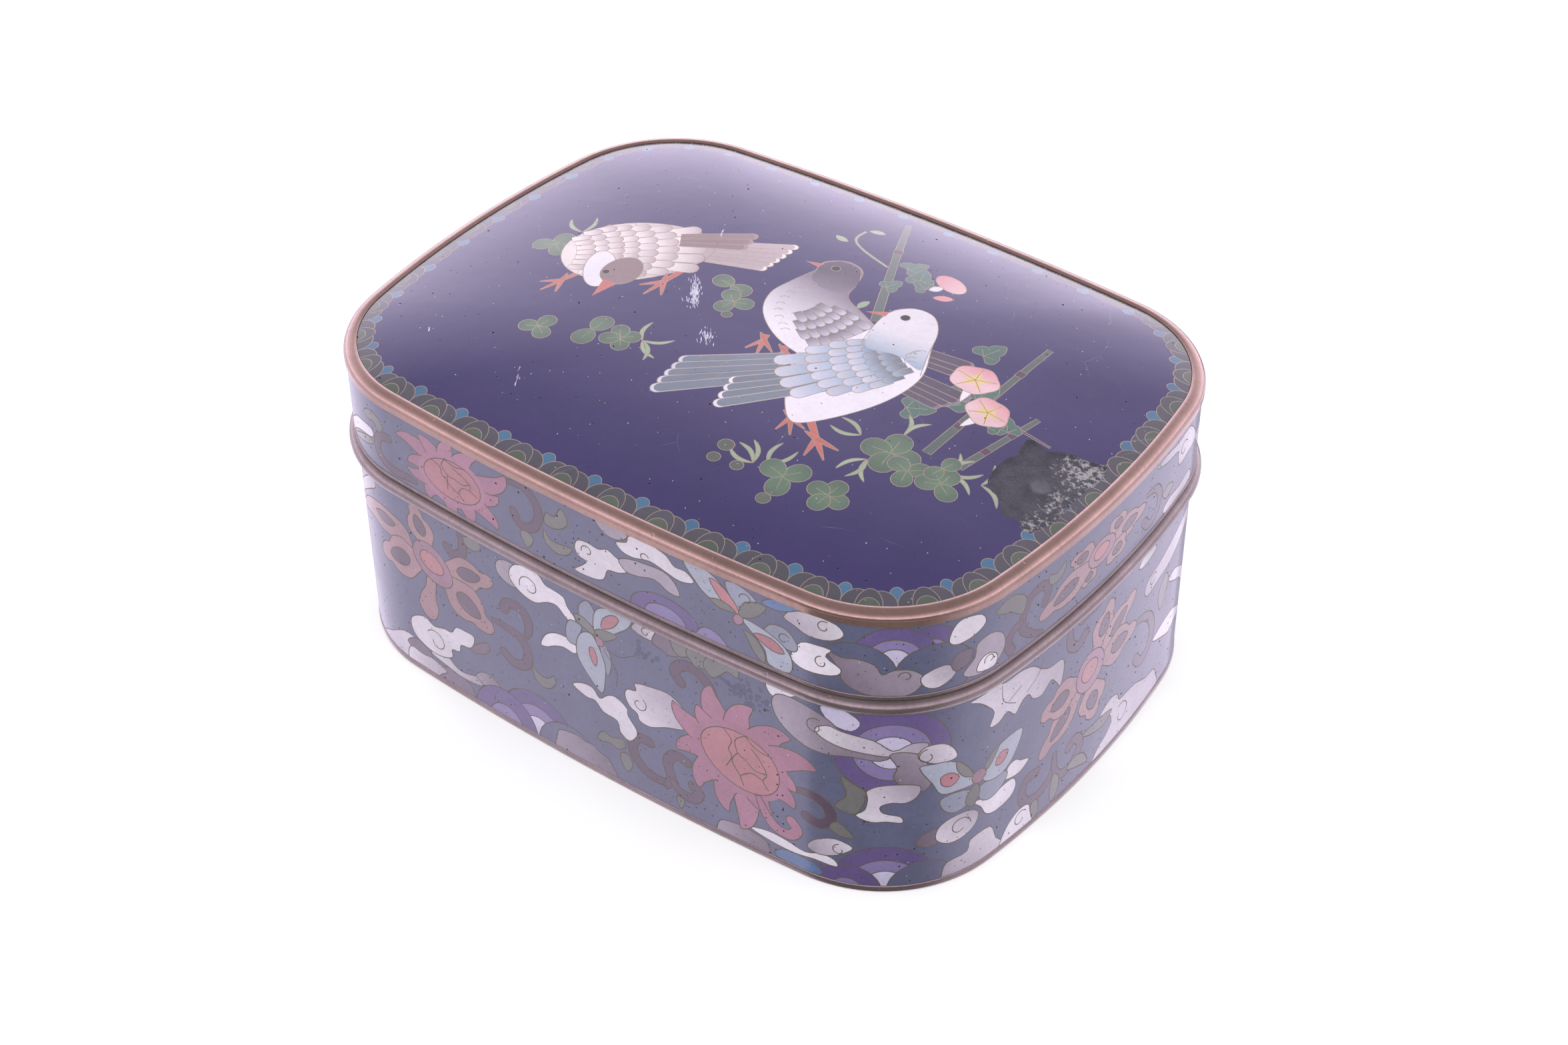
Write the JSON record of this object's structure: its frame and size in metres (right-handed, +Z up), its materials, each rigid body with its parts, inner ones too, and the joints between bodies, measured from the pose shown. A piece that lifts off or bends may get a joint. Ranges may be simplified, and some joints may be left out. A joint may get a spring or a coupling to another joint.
{
  "type": "cloisonne enamel box with a lift-off lid",
  "caption": "Rounded rectangular cloisonne box with bowed sides, a domed lift-off lid, copper rims and a bead round its mouth.",
  "frame": {"origin": "centre of the foot's underside, on the surface the box stands on", "axes": "+Z up, +X along the box's length towards the end of the lid with the lost enamel, -Y the front long side"},
  "size_m": [0.1524, 0.1146, 0.071],
  "materials": {
    "copper": "worn polished copper with a brown tarnish in the corners",
    "dark_copper": "dull brown tarnished copper, rubbed brighter along its crest",
    "side_enamel": "polished grey-blue cloisonne enamel on copper, with pits",
    "lid_enamel": "polished violet-blue cloisonne enamel on copper, scratched and with one loss",
    "counter_enamel": "plain pooled counter-enamel with an orange-peel surface"
  },
  "bodies": {
    "root": {"body_foot_rim": "dark_copper", "body_base_plate": "counter_enamel", "body_side_band": "side_enamel", "body_mouth_rim": "dark_copper", "lid_lower_rim": "copper", "lid_side_band": "side_enamel", "lid_shoulder_rim": "copper", "lid_top_panel": "lid_enamel"}
  },
  "joints": []
}
